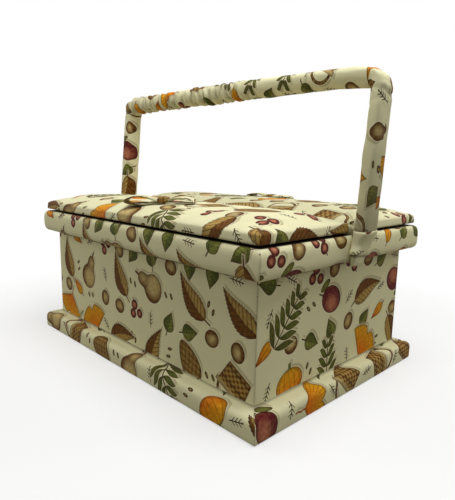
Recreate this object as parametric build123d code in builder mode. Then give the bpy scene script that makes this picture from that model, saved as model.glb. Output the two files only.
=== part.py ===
from build123d import *
import os

# A sewing carrier: a cloth-covered box with half-round mouldings at its rim and
# its foot, two padded lids hinged back to back along the middle, and a padded
# handle that spans the box from end to end. Lengths are millimetres, +X runs
# along the box, -Y is the front, and z = 0 is the surface it stands on.

# ---- carcass ----
body_length = 280.0          # over the end panels
body_depth = 189.3           # over the long panels
rim_top = 124.7              # top of the box under its lids
panel_thickness = 5.0
panel_rebate = 2.0           # how far an end panel is let into a long panel
base_thickness = 5.0
cover_thickness = 0.8        # card that closes the underside
cover_recess = 0.3           # the card sits this far above the plinth's foot

# ---- mouldings ----
plinth_height = 19.6
plinth_projection = 10.0
rim_height = 20.6
rim_projection = 10.9
nose_depth = 4.2             # how far the bowed front of a moulding bulges
nose_rounding = 3.5          # where the nose meets the flat top or underside
cove_radius = 2.8            # hollow where a moulding meets the wall

# ---- centre rail and hinge strip ----
rail_width = 18.0
rail_height = 10.0
rail_housing = 2.5           # depth of the seat cut for it in an end panel
strip_width = 4.4            # upright strip between the lids, which carries the hinges
strip_rise = 6.6             # its height over the rim

# ---- lining ----
lining_thickness = 1.5
lining_lip = 1.4             # how far the wall lining stands over the rim
floor_thickness = 2.0
notch_clearance = 0.3

# ---- lids ----
lid_end_setback = 3.9        # from the rim's nose to the end of a lid
lid_edge_setback = 3.55      # from the rim's nose to a lid's free edge
lid_gap = 1.8                # open line between the rim and a closed lid
lid_board = 5.0
pad_edge = 1.9               # straight edge of the pad over its board
pad_crown = 12.5             # middle of the pad over its board
pad_shoulder = 48.0          # length over which an end of the pad rises
cloth = 0.4                  # what the pad stands out past its board
lid_lining = 1.2
lid_lining_margin = 1.0      # from the edge of the lid lining to the wall lining
lid_lining_setback = 6.5     # from the middle of the box to the lid lining

# ---- hinges ----
hinge_inset = 57.0           # from the end of a lid to the middle of a hinge
hinge_width = 22.0
leaf_thickness = 0.6
barrel_radius = 1.2
pin_radius = 0.5
pin_clearance = 0.05
knuckle_gap = 0.3            # end play on each side of the middle knuckle
knuckle_share = 0.38         # middle knuckle's part of the hinge's width
barrel_rise = 0.9            # pivot's height over the lid's board
leaf_relief = 0.3            # what the leaf's plate stays clear of the other knuckles
leaf_foot = 0.6              # from the rim's level to the foot of a fixed leaf
screw_radius = 0.5
screw_head = 1.1
screw_grip = 1.5             # length of a hinge screw past its leaf
screw_clearance = 0.05

# ---- lid pulls ----
pull_setback = 20.0          # from a lid's free edge to the middle of its bow
bow_span = 42.0              # over both loops
bow_loop_width = 16.0        # of the ribbon at the outer end of a loop
bow_waist = 9.0              # of the ribbon where the knot gathers it
bow_knot = 11.0
bow_height = 5.0             # the knot's top over the pad's crown
bow_loop_drop = 1.5          # a loop's top below the knot's
bow_fold = 4.0               # bend radius of the ribbon at the end of a loop
knot_fold = 3.0              # bend radius of the knot's band

# ---- handle ----
leg_standoff = 6.4           # from the rim's nose to the middle of a leg
handle_top = 240.0           # height of the middle of the grip
handle_set_back = -0.6       # how far the feet stand behind the middle
handle_lean = 4.8            # degrees, towards the back
strap_width = 12.0           # flat steel inside the padding
strap_thickness = 2.5
strap_seat = 0.3             # cloth between the strap and the rim
strap_foot = 9.5             # from the middle of the rim to the strap's lower end
strap_corner = 7.0           # bend radius of the strap's middle line
joggle_start = 9.0           # where the strap bends out from the rim
joggle_end = 21.0
joggle_radius = 12.0
leg_width = 19.4
leg_thickness = 11.8
leg_rounding = 5.0
leg_bottom = 13.0            # from the middle of the rim to the foot of the padding
grip_width = 17.0
grip_height = 16.6
grip_rounding = 7.6
patch_width = 19.0           # cloth patch over a foot of the handle
patch_thickness = 7.0
patch_drop = 12.6            # from the middle of the rim to its lower end
patch_rounding = 3.0
handle_screw_pitch = 9.0
handle_screw_radius = 1.5
handle_screw_length = 17.0
handle_screw_head = 3.0
handle_screw_head_height = 1.6

# ---- worked out from the sizes above ----
half_length = body_length / 2
half_depth = body_depth / 2
inner_half_length = half_length - panel_thickness
inner_half_depth = half_depth - panel_thickness
panel_bottom = cover_recess + cover_thickness
panel_height = rim_top - panel_bottom
base_top = panel_bottom + base_thickness
rim_middle = rim_top - rim_height / 2
rim_reach = half_length + rim_projection
rail_bottom = rim_top - rail_height
lid_length = 2 * (rim_reach - lid_end_setback)
lid_reach = half_depth + rim_projection - lid_edge_setback
lid_bottom = rim_top + lid_gap
board_top = lid_bottom + lid_board
hinge_station = lid_length / 2 - hinge_inset
pivot_y = strip_width / 2 + barrel_radius
pivot_z = board_top + barrel_rise
leaf_y = pivot_y + barrel_radius            # outer face of a moving leaf, where the lid starts
leaf_plate_top = pivot_z - barrel_radius - leaf_relief
lid_width = lid_reach - leaf_y
middle_knuckle = hinge_width * knuckle_share
outer_knuckle = (hinge_width - middle_knuckle) / 2 - knuckle_gap
outer_knuckle_x = (hinge_width - outer_knuckle) / 2
half_span = rim_reach + leg_standoff        # from the middle of the box to the middle of a leg
strap_foot_x = rim_reach + strap_seat + strap_thickness / 2
grip_w = (handle_top - rim_middle) / Vector(0, 0, 1).rotate(Axis.X, handle_lean).Z

# The handle's own plane: x along the box, y up its lean, z out of the front.
handle_plane = Plane(
    origin=(0, handle_set_back, rim_middle),
    x_dir=(1, 0, 0),
    z_dir=Vector(0, -1, 0).rotate(Axis.X, -handle_lean),
)

os.makedirs("parts", exist_ok=True)


def save(piece, name):
    """Label a finished piece and write its STEP file."""
    piece.part.label = name
    export_step(piece.part, f"parts/{name}.step")


# ---- carcass panels ----
def long_panel(side):
    """A long wall: full length, rebated at both ends for the end panels."""
    with BuildPart() as panel:
        with Locations((0, side * (half_depth - panel_thickness / 2), panel_bottom)):
            Box(body_length, panel_thickness, panel_height, align=(Align.CENTER, Align.CENTER, Align.MIN))
        rebate_x = half_length - panel_thickness / 2
        rebate_y = side * (inner_half_depth + panel_rebate / 2)
        with Locations((-rebate_x, rebate_y, panel_bottom), (rebate_x, rebate_y, panel_bottom)):
            Box(
                panel_thickness,
                panel_rebate,
                panel_height,
                align=(Align.CENTER, Align.CENTER, Align.MIN),
                mode=Mode.SUBTRACT,
            )
    return panel


def end_panel(end):
    """A short wall, with a seat for the centre rail and holes for the handle's screws."""
    with BuildPart() as panel:
        with Locations((end * (half_length - panel_thickness / 2), 0, panel_bottom)):
            Box(
                panel_thickness,
                2 * (inner_half_depth + panel_rebate),
                panel_height,
                align=(Align.CENTER, Align.CENTER, Align.MIN),
            )
        with Locations((end * (inner_half_length + rail_housing / 2), 0, rail_bottom)):
            Box(
                rail_housing,
                rail_width,
                rail_height,
                align=(Align.CENTER, Align.CENTER, Align.MIN),
                mode=Mode.SUBTRACT,
            )
        add(handle_screw_holes(end), mode=Mode.SUBTRACT)
    return panel


def handle_screw_planes(end):
    """Planes on the strap's outer face, one for each screw, facing out of the box."""
    face_x = end * (strap_foot_x + strap_thickness / 2)
    return [
        Plane(origin=handle_plane.from_local_coords(Vector(face_x, w, 0)), x_dir=(0, 1, 0), z_dir=(end, 0, 0))
        for w in (-handle_screw_pitch / 2, handle_screw_pitch / 2)
    ]


def handle_screw_holes(end):
    """The bores for both screws of one foot of the handle."""
    with BuildPart() as holes:
        with BuildSketch(*handle_screw_planes(end)):
            Circle(handle_screw_radius + screw_clearance)
        extrude(amount=-handle_screw_length)
    return holes.part


save(long_panel(-1), "front_panel")
save(long_panel(1), "back_panel")
save(end_panel(-1), "left_panel")
save(end_panel(1), "right_panel")

with BuildPart() as base_board:
    with Locations((0, 0, panel_bottom)):
        Box(
            2 * inner_half_length,
            2 * inner_half_depth,
            base_thickness,
            align=(Align.CENTER, Align.CENTER, Align.MIN),
        )
save(base_board, "base_board")

with BuildPart() as base_cover:
    with Locations((0, 0, cover_recess)):
        Box(body_length, body_depth, cover_thickness, align=(Align.CENTER, Align.CENTER, Align.MIN))
save(base_cover, "base_cover")


# ---- mouldings ----
def moulding(run, reach, projection, bottom, height, turn, cove_at_top, drilled_end=0):
    """One mitred length of moulding.

    run is the wall's half length, reach the distance from the middle of the box to the
    wall, and turn the side of the box in degrees: 0 front, 90 right, 180 back, 270 left.
    The section is flat against the wall, with a bowed nose and a small cove.
    """
    lie = Plane.XY.rotated((0, 0, turn))
    section_plane = Plane(origin=(0, 0, 0), x_dir=lie.y_dir, z_dir=lie.x_dir)
    outer_flat = reach + projection - nose_depth
    top = bottom + height
    cove_z = top if cove_at_top else bottom
    cove_tip = cove_z + (cove_radius if cove_at_top else -cove_radius)
    with BuildPart() as piece:
        with BuildSketch(section_plane) as piece_section:
            with BuildLine():
                flat_bottom = (-outer_flat, bottom)
                flat_top = (-outer_flat, top)
                Line((-reach, bottom), flat_bottom)
                ThreePointArc(flat_bottom, (-reach - projection, (bottom + top) / 2), flat_top)
                Line(flat_top, (-reach, top))
                Line((-reach, top), (-reach, bottom))
            make_face()
            fillet(piece_section.vertices().group_by(Axis.X)[0], nose_rounding)
            with BuildLine():
                Line((-reach, cove_z), (-reach, cove_tip))
                RadiusArc(
                    (-reach, cove_tip),
                    (-reach - cove_radius, cove_z),
                    -cove_radius if cove_at_top else cove_radius,
                )
                Line((-reach - cove_radius, cove_z), (-reach, cove_z))
            make_face()
        extrude(amount=run + projection, both=True)
        with BuildSketch(lie.offset(bottom - cove_radius)):
            Polygon(
                (-run, -reach),
                (-run - projection, -reach - projection),
                (run + projection, -reach - projection),
                (run, -reach),
                align=None,
            )
        extrude(amount=height + 2 * cove_radius, mode=Mode.INTERSECT)
        if drilled_end:
            add(handle_screw_holes(drilled_end), mode=Mode.SUBTRACT)
    return piece


sides = {"front": 0, "right": 90, "back": 180, "left": 270}
ends = {"right": 1, "left": -1}
for side_name, turn in sides.items():
    along = side_name in ("front", "back")
    run = half_length if along else half_depth
    reach = half_depth if along else half_length
    drilled = ends.get(side_name, 0)
    rim = moulding(run, reach, rim_projection, rim_top - rim_height, rim_height, turn, False, drilled)
    save(rim, f"rim_{side_name}")
    plinth = moulding(run, reach, plinth_projection, 0, plinth_height, turn, True)
    save(plinth, f"plinth_{side_name}")

# ---- centre rail and hinge strip ----
with BuildPart() as centre_rail:
    with Locations((0, 0, rail_bottom)):
        Box(
            2 * (inner_half_length + rail_housing),
            rail_width,
            rail_height,
            align=(Align.CENTER, Align.CENTER, Align.MIN),
        )
    for end in (-1, 1):
        add(handle_screw_holes(end), mode=Mode.SUBTRACT)
save(centre_rail, "centre_rail")

with BuildPart() as hinge_strip:
    with Locations((0, 0, rim_top)):
        Box(lid_length, strip_width, strip_rise, align=(Align.CENTER, Align.CENTER, Align.MIN))
    fillet(hinge_strip.edges().filter_by(Axis.X).group_by(Axis.Z)[-1], strip_width / 5)
    screw_z = (rim_top + leaf_foot + leaf_plate_top) / 2
    for side in (-1, 1):
        for station in (-hinge_station, hinge_station):
            for screw_x in (-outer_knuckle_x, outer_knuckle_x):
                screw_plane = Plane(
                    origin=(station + screw_x, side * strip_width / 2, screw_z),
                    z_dir=(0, -side, 0),
                )
                with BuildSketch(screw_plane):
                    Circle(screw_radius + screw_clearance)
                extrude(amount=screw_grip + screw_clearance, mode=Mode.SUBTRACT)
save(hinge_strip, "hinge_strip")

# ---- lining of the box ----
lining_half_length = inner_half_length - lining_thickness
lining_half_depth = inner_half_depth - lining_thickness
lining_height = rim_top + lining_lip - base_top

for name, side in (("lining_front", -1), ("lining_back", 1)):
    with BuildPart() as lining:
        with Locations((0, side * (inner_half_depth - lining_thickness / 2), base_top)):
            Box(
                2 * inner_half_length,
                lining_thickness,
                lining_height,
                align=(Align.CENTER, Align.CENTER, Align.MIN),
            )
    save(lining, name)

for name, end in (("lining_left", -1), ("lining_right", 1)):
    with BuildPart() as lining:
        with Locations((end * (inner_half_length - lining_thickness / 2), 0, base_top)):
            Box(
                lining_thickness,
                2 * lining_half_depth,
                lining_height,
                align=(Align.CENTER, Align.CENTER, Align.MIN),
            )
        notch_bottom = rail_bottom - notch_clearance
        with Locations((end * (inner_half_length - lining_thickness / 2), 0, notch_bottom)):
            Box(
                lining_thickness,
                rail_width + 2 * notch_clearance,
                rail_height + notch_clearance + lining_lip,
                align=(Align.CENTER, Align.CENTER, Align.MIN),
                mode=Mode.SUBTRACT,
            )
    save(lining, name)

with BuildPart() as lining_floor:
    with Locations((0, 0, base_top)):
        Box(
            2 * lining_half_length,
            2 * lining_half_depth,
            floor_thickness,
            align=(Align.CENTER, Align.CENTER, Align.MIN),
        )
save(lining_floor, "lining_floor")


# ---- hinges ----
def hinge_leaf(side, station, moving):
    """One brass leaf: a plate with its knuckles curled round the pin.

    The fixed leaf lies on the strip and has the two outer knuckles. The moving leaf lies
    on the edge of the lid's board and has the middle one.
    """
    plate_y = (leaf_y - leaf_thickness / 2) if moving else (strip_width + leaf_thickness) / 2
    foot = lid_bottom if moving else rim_top + leaf_foot
    if moving:
        knuckles = [(0, middle_knuckle)]
    else:
        knuckles = [(-outer_knuckle_x, outer_knuckle), (outer_knuckle_x, outer_knuckle)]
    with BuildPart() as leaf:
        with Locations((station, side * plate_y, foot)):
            Box(
                hinge_width,
                leaf_thickness,
                leaf_plate_top - foot,
                align=(Align.CENTER, Align.CENTER, Align.MIN),
            )
        for offset, width in knuckles:
            with Locations((station + offset, side * plate_y, leaf_plate_top)):
                Box(
                    width,
                    leaf_thickness,
                    pivot_z - leaf_plate_top,
                    align=(Align.CENTER, Align.CENTER, Align.MIN),
                )
            with BuildSketch(Plane(origin=(station + offset, side * pivot_y, pivot_z), z_dir=(1, 0, 0))):
                Circle(barrel_radius)
            extrude(amount=width / 2, both=True)
        with BuildSketch(Plane(origin=(station, side * pivot_y, pivot_z), z_dir=(1, 0, 0))):
            Circle(pin_radius + pin_clearance)
        extrude(amount=hinge_width, both=True, mode=Mode.SUBTRACT)
        outward = -side if moving else side
        face_y = side * (plate_y - leaf_thickness / 2 if moving else plate_y + leaf_thickness / 2)
        for screw_x in (-outer_knuckle_x, outer_knuckle_x):
            head_plane = Plane(
                origin=(station + screw_x, face_y, (foot + leaf_plate_top) / 2), z_dir=(0, outward, 0)
            )
            with BuildSketch(head_plane):
                Circle(screw_head + screw_clearance)
            with BuildSketch(head_plane.offset(-leaf_thickness)):
                Circle(screw_radius + screw_clearance)
            loft(mode=Mode.SUBTRACT)
    return leaf


def hinge_screws(side, moving):
    """The countersunk screws of both leaves on one side of the strip, as separate solids."""
    foot = lid_bottom if moving else rim_top + leaf_foot
    inner_face = leaf_y - leaf_thickness if moving else strip_width / 2 + leaf_thickness
    outward = -side if moving else side
    with BuildPart() as screws:
        for station in (-hinge_station, hinge_station):
            for screw_x in (-outer_knuckle_x, outer_knuckle_x):
                head_plane = Plane(
                    origin=(station + screw_x, side * inner_face, (foot + leaf_plate_top) / 2),
                    z_dir=(0, outward, 0),
                )
                with BuildSketch(head_plane):
                    Circle(screw_head)
                with BuildSketch(head_plane.offset(-leaf_thickness)):
                    Circle(screw_radius)
                loft()
                with BuildSketch(head_plane.offset(-leaf_thickness)):
                    Circle(screw_radius)
                extrude(amount=-screw_grip)
    return screws


with BuildPart() as hinge_leaves_fixed:
    for side in (-1, 1):
        for station in (-hinge_station, hinge_station):
            add(hinge_leaf(side, station, moving=False).part)
save(hinge_leaves_fixed, "hinge_leaves_fixed")

with BuildPart() as hinge_pins:
    for side in (-1, 1):
        for station in (-hinge_station, hinge_station):
            with BuildSketch(Plane(origin=(station, side * pivot_y, pivot_z), z_dir=(1, 0, 0))):
                Circle(pin_radius)
            extrude(amount=hinge_width / 2, both=True)
save(hinge_pins, "hinge_pins")

with BuildPart() as hinge_screws_fixed:
    for side in (-1, 1):
        add(hinge_screws(side, moving=False).part)
save(hinge_screws_fixed, "hinge_screws_fixed")


# ---- lids ----
def shoulder(edge, inward, run):
    """Curve of a pad from its straight edge up to its crown; inward is +1 or -1."""
    rise = pad_crown - pad_edge
    low = board_top + pad_edge
    return Bezier(
        (edge, low),
        (edge + inward * 0.08 * run, low + 0.39 * rise),
        (edge + inward * 0.40 * run, low + 0.93 * rise),
        (edge + inward * run, low + rise),
    )


def pad_profile(first, last, run):
    """Closed outline of a pad between two edges, crowned in the middle."""
    with BuildSketch() as profile:
        with BuildLine():
            Line((first, board_top), (first, board_top + pad_edge))
            add(shoulder(first, 1, run))
            if 2 * run < last - first:
                Line((first + run, board_top + pad_crown), (last - run, board_top + pad_crown))
            add(shoulder(last, -1, run))
            Line((last, board_top + pad_edge), (last, board_top))
            Line((last, board_top), (first, board_top))
        make_face()
    return profile.sketch


def make_lid(prefix, side):
    """All pieces of one lid. side is -1 for the front lid and +1 for the back lid."""
    near, far = leaf_y + cloth, lid_reach + cloth
    low_y, high_y = sorted((side * near, side * far))
    middle_y = side * (leaf_y + lid_width / 2)

    with BuildPart() as board:
        with Locations((0, middle_y, lid_bottom)):
            Box(
                lid_length - 2 * cloth,
                lid_width,
                lid_board,
                align=(Align.CENTER, Align.CENTER, Align.MIN),
            )
        for station in (-hinge_station, hinge_station):
            for screw_x in (-outer_knuckle_x, outer_knuckle_x):
                hole_plane = Plane(
                    origin=(station + screw_x, side * leaf_y, (lid_bottom + leaf_plate_top) / 2),
                    z_dir=(0, side, 0),
                )
                with BuildSketch(hole_plane):
                    Circle(screw_radius + screw_clearance)
                extrude(amount=screw_grip + screw_clearance, mode=Mode.SUBTRACT)
    save(board, f"{prefix}_board")

    with BuildPart() as pad:
        with BuildSketch(Plane.YZ):
            add(pad_profile(low_y, high_y, (high_y - low_y) / 2))
        extrude(amount=lid_length / 2, both=True)
        with BuildSketch(Plane.XZ):
            add(pad_profile(-lid_length / 2, lid_length / 2, pad_shoulder))
        extrude(amount=2 * far, both=True, mode=Mode.INTERSECT)
    save(pad, f"{prefix}_pad")

    lining_far = lining_half_depth - lid_lining_margin
    with BuildPart() as lining:
        with Locations((0, side * (lid_lining_setback + lining_far) / 2, lid_bottom)):
            Box(
                2 * (lining_half_length - lid_lining_margin),
                lining_far - lid_lining_setback,
                lid_lining,
                align=(Align.CENTER, Align.CENTER, Align.MAX),
            )
    save(lining, f"{prefix}_lining")

    pull_y = side * (lid_reach - pull_setback)
    low = board_top + pad_edge
    knot_top = board_top + pad_crown + bow_height
    loop_top = knot_top - bow_loop_drop
    with BuildPart() as knot:
        with BuildSketch(Plane.YZ) as band:
            with Locations((pull_y, (low + knot_top) / 2)):
                Rectangle(bow_knot, knot_top - low)
            fillet(band.vertices().group_by(Axis.Y)[-1], knot_fold)
        extrude(amount=bow_knot / 2, both=True)
    with BuildPart() as pull:
        with BuildSketch(Plane.XZ.offset(-pull_y)) as loops:
            with Locations((0, (low + loop_top) / 2)):
                Rectangle(bow_span, loop_top - low)
            fillet(loops.vertices().group_by(Axis.Y)[-1], bow_fold)
        extrude(amount=bow_loop_width / 2, both=True)
        with BuildSketch(Plane.XY.offset(low)):
            with Locations((0, pull_y)):
                for loop_end in (-1, 1):
                    Polygon(
                        (0, -bow_waist / 2),
                        (loop_end * bow_span / 2, -bow_loop_width / 2),
                        (loop_end * bow_span / 2, bow_loop_width / 2),
                        (0, bow_waist / 2),
                        align=None,
                    )
        extrude(amount=loop_top - low, mode=Mode.INTERSECT)
        add(knot.part)
        add(pad.part, mode=Mode.SUBTRACT)
    save(pull, f"{prefix}_pull")

    with BuildPart() as leaves:
        for station in (-hinge_station, hinge_station):
            add(hinge_leaf(side, station, moving=True).part)
    save(leaves, f"{prefix}_hinge_leaves")

    save(hinge_screws(side, moving=True), f"{prefix}_hinge_screws")


make_lid("front_lid", -1)
make_lid("back_lid", 1)

# ---- handle ----
# One flat steel strap, bent to a square arch with a joggle over each edge of the rim.
with BuildPart() as handle_strap:
    with BuildLine(handle_plane) as route:
        FilletPolyline(
            (strap_foot_x, -strap_foot),
            (strap_foot_x, joggle_start),
            (half_span, joggle_end),
            (half_span, grip_w),
            (-half_span, grip_w),
            (-half_span, joggle_end),
            (-strap_foot_x, joggle_start),
            (-strap_foot_x, -strap_foot),
            radius=[joggle_radius, joggle_radius, strap_corner, strap_corner, joggle_radius, joggle_radius],
        )
    start = handle_plane.from_local_coords(Vector(strap_foot_x, -strap_foot, 0))
    with BuildSketch(Plane(origin=start, x_dir=handle_plane.z_dir, z_dir=handle_plane.y_dir)):
        Rectangle(strap_width, strap_thickness)
    sweep(path=route.wires()[0])
    for end in (-1, 1):
        add(handle_screw_holes(end), mode=Mode.SUBTRACT)
save(handle_strap, "handle_strap")

with BuildPart() as handle_screws:
    for end in (-1, 1):
        with BuildSketch(*handle_screw_planes(end)):
            Circle(handle_screw_radius)
        extrude(amount=-handle_screw_length)
        with BuildSketch(*handle_screw_planes(end)):
            Circle(handle_screw_head)
        extrude(amount=handle_screw_head_height, taper=15)
save(handle_screws, "handle_screws")


def leg_padding(end):
    """Padding of one leg and its bend, which swells into the section of the grip."""
    with BuildPart() as padding:
        with BuildLine(handle_plane) as route:
            leg = Line((end * half_span, leg_bottom), (end * half_span, grip_w - strap_corner))
            RadiusArc(
                leg @ 1,
                (end * (half_span - strap_corner), grip_w),
                -end * strap_corner,
            )
        foot = handle_plane.from_local_coords(Vector(end * half_span, leg_bottom, 0))
        with BuildSketch(Plane(origin=foot, x_dir=handle_plane.z_dir, z_dir=handle_plane.y_dir)):
            RectangleRounded(leg_width, leg_thickness, leg_rounding)
        sweep(path=route.wires()[0])
        add(handle_strap.part, mode=Mode.SUBTRACT)
    return padding


save(leg_padding(-1), "handle_leg_left")
save(leg_padding(1), "handle_leg_right")

with BuildPart() as handle_grip:
    grip_end = handle_plane.from_local_coords(Vector(half_span - strap_corner, grip_w, 0))
    with BuildSketch(Plane(origin=grip_end, x_dir=handle_plane.z_dir, z_dir=(-1, 0, 0))):
        RectangleRounded(grip_width, grip_height, grip_rounding)
    extrude(amount=2 * (half_span - strap_corner))
    add(handle_strap.part, mode=Mode.SUBTRACT)
save(handle_grip, "handle_grip")


def foot_patch(end):
    """Cloth patch drawn over a foot of the handle and its screws."""
    inner_x = rim_reach + cloth / 2
    with BuildPart() as patch:
        with BuildSketch(handle_plane):
            with Locations((end * (inner_x + patch_thickness / 2), (leg_bottom - patch_drop) / 2)):
                Rectangle(patch_thickness, leg_bottom + patch_drop)
        extrude(amount=patch_width / 2, both=True)
        outer_edges = patch.faces().sort_by(Axis.X)[-1 if end > 0 else 0].edges()
        fillet(outer_edges.filter_by(Axis.Y, reverse=True).sort_by(Axis.Z)[1:-1], patch_rounding)
        add(handle_strap.part, mode=Mode.SUBTRACT)
        add(handle_screw_holes(end), mode=Mode.SUBTRACT)
        with BuildSketch(*handle_screw_planes(end)):
            Circle(handle_screw_head + screw_clearance)
        extrude(amount=handle_screw_head_height + screw_clearance, mode=Mode.SUBTRACT)
    return patch


save(foot_patch(-1), "handle_patch_left")
save(foot_patch(1), "handle_patch_right")
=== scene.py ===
import random
from math import copysign, cos, exp, hypot, pi, radians, sin

import bmesh
import bpy
import numpy as np
from mathutils import Matrix, Vector, bvhtree, noise


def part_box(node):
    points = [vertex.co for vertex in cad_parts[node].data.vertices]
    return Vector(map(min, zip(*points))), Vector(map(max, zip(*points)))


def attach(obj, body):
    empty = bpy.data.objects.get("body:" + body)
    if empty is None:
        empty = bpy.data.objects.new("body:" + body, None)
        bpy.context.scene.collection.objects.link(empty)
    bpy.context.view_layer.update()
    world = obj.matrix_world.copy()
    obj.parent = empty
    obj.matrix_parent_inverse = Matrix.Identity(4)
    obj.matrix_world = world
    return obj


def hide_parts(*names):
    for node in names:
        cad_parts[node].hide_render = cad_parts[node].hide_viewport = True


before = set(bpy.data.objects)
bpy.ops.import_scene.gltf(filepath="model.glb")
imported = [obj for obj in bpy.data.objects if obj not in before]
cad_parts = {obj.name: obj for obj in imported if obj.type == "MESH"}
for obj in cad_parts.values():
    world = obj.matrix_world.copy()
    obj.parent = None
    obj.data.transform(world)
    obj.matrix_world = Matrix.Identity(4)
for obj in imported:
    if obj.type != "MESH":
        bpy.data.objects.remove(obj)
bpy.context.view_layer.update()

# ---- Camera ----
# A hand-held camera a little above the lids, off the near right corner of the carrier. It
# looks slightly down, so that a long side, a short side and both padded lids show.
view_place = Vector((0.3282, -0.3053, 0.1718))
view_turn = radians(45.72)
view_tilt = radians(-10.03)
view_roll = radians(1.15)


def add_object(name, data):
    """A new object in the scene."""
    thing = bpy.data.objects.new(name, data)
    bpy.context.scene.collection.objects.link(thing)
    return thing


camera_data = bpy.data.cameras.new("camera")
camera_data.sensor_width = 36.0
camera_data.lens = 33.60
camera_data.clip_start = 0.01
camera = add_object("camera", camera_data)
camera.matrix_world = (
    Matrix.Translation(view_place)
    @ Matrix.Rotation(view_turn, 4, "Z")
    @ Matrix.Rotation(radians(90) + view_tilt, 4, "X")
    @ Matrix.Rotation(view_roll, 4, "Z")
)
bpy.context.scene.camera = camera
bpy.context.scene.view_settings.view_transform = "Standard"

# ---- Table and light ----
# A plain white table top in a pale room. A wide soft lamp shines almost straight down, so
# the lids are bright, and two weak warm lamps beside it lift the walls out of the shade.
table_reach = 3.0
table_white = (0.93, 0.93, 0.93, 1)
table_bounce = (0.23, 0.22, 0.19, 1)
shade_start, shade_end = 0.20, 0.42   # the table is lit paper near the box, plain white beyond
shade_least = 0.55           # how plainly white the table is seen beside the box
room_glow = 0.22
room_warmth = (1.0, 0.98, 0.89, 1)
white = (1, 1, 1, 1)
black = (0, 0, 0, 1)
lamp_cool = (0.975, 0.985, 1.0)
lamp_warm = (1.0, 0.98, 0.86)


def feed(node, sockets):
    """Sets a node's sockets, each to a constant or to a link from an output or a tone."""
    for label, value in dict(sockets).items():
        value = getattr(value, "socket", value)
        if isinstance(value, bpy.types.NodeSocket):
            node.id_data.links.new(value, node.inputs[label])
        else:
            node.inputs[label].default_value = value


def add_node(tree, kind, sockets=(), **settings):
    """A shader node with its settings and its sockets, by name or by number."""
    node = tree.nodes.new("ShaderNode" + kind)
    for label, value in settings.items():
        setattr(node, label, value)
    feed(node, sockets)
    return node


def math_step(operation, swapped=False):
    """A method of Tone: one Math node of the tone and the other values."""
    def method(self, *others):
        values = (self, *others)
        return self.step(operation, *(values[::-1] if swapped else values))
    return method


class Tone:
    """A number that changes over a surface. Arithmetic on tones makes Math nodes."""

    def __init__(self, socket):
        self.socket = socket

    def step(self, operation, *values, clamp=False):
        tree = self.socket.id_data
        node = add_node(tree, "Math", enumerate(values), operation=operation, use_clamp=clamp)
        return Tone(node.outputs[0])

    __add__ = math_step("ADD")
    __radd__ = math_step("ADD", swapped=True)
    __sub__ = math_step("SUBTRACT")
    __rsub__ = math_step("SUBTRACT", swapped=True)
    __mul__ = math_step("MULTIPLY")
    __rmul__ = math_step("MULTIPLY", swapped=True)
    __truediv__ = math_step("DIVIDE")
    size = math_step("ABSOLUTE")
    root = math_step("SQRT")
    wave = math_step("SINE")
    part = math_step("FRACT")
    least = math_step("MINIMUM")
    most = math_step("MAXIMUM")

    def ramp(self, low, high):
        """0 below low and 1 above high, or the other way round where low is the larger."""
        slope = 1 / (high - low)
        return self.step("MULTIPLY_ADD", self, slope, -low * slope, clamp=True)


def tint(mask, under, over, mode="MIX"):
    """The colour under, painted with the colour over where the mask is 1."""
    sockets = {"Factor": mask, "A": under, "B": over}
    tree = mask.socket.id_data
    return add_node(tree, "Mix", sockets, data_type="RGBA", blend_type=mode).outputs["Result"]


def new_material(name):
    """An empty material with its node tree and its Principled shader."""
    material = bpy.data.materials.new(name)
    material.use_nodes = True
    tree = material.node_tree
    tree.nodes.clear()
    shader = add_node(tree, "BsdfPrincipled")
    add_node(tree, "OutputMaterial", {"Surface": shader.outputs["BSDF"]})
    return material, tree, shader


def seen_plainly(tree):
    """A mask that is 1 for what the camera sees, directly or in metal and glass."""
    path = add_node(tree, "LightPath")
    direct, mirrored, through = (
        Tone(path.outputs[f"Is {ray} Ray"]) for ray in ("Camera", "Glossy", "Transmission")
    )
    return direct.most(mirrored).most(through)


def lay_table():
    mesh = bpy.data.meshes.new("table_top")
    corners = [(-1, -1), (1, -1), (1, 1), (-1, 1)]
    points = [(x * table_reach, y * table_reach, 0) for x, y in corners]
    mesh.from_pydata(points, [], [(0, 1, 2, 3)])
    table = add_object("table_top", mesh)
    material, tree, shader = new_material("white table top")
    seen = seen_plainly(tree)
    place = add_node(tree, "TexCoord").outputs["Object"]
    distance = add_node(tree, "VectorMath", {0: place}, operation="LENGTH").outputs["Value"]
    away = add_node(
        tree, "MapRange",
        {"Value": distance, "From Min": shade_start, "From Max": shade_end, "To Min": shade_least},
        interpolation_type="SMOOTHSTEP",
    )
    plain = seen * Tone(away.outputs["Result"])
    feed(shader, {
        "Base Color": tint(plain, tint(seen, table_bounce, table_white), black),
        "Emission Color": white,
        "Emission Strength": plain,
        "Roughness": 0.9,
        "Specular IOR Level": 0.0,
    })
    mesh.materials.append(material)


def light_room():
    world = bpy.data.worlds.new("pale room")
    bpy.context.scene.world = world
    world.use_nodes = True
    tree = world.node_tree
    seen = seen_plainly(tree)
    glow = add_node(tree, "MapRange", {"Value": seen, "To Min": room_glow})
    feed(tree.nodes["Background"], {
        "Color": tint(seen, room_warmth, white), "Strength": glow.outputs["Result"],
    })


def hang_lamp(name, place, aim, size, power, color):
    lamp_data = bpy.data.lights.new(name, "AREA")
    lamp_data.shape = "DISK"
    lamp_data.size = size
    lamp_data.energy = power
    lamp_data.color = color
    lamp = add_object(name, lamp_data)
    lamp.location = place
    lamp.rotation_euler = (Vector(aim) - Vector(place)).to_track_quat("-Z", "Y").to_euler()


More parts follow.
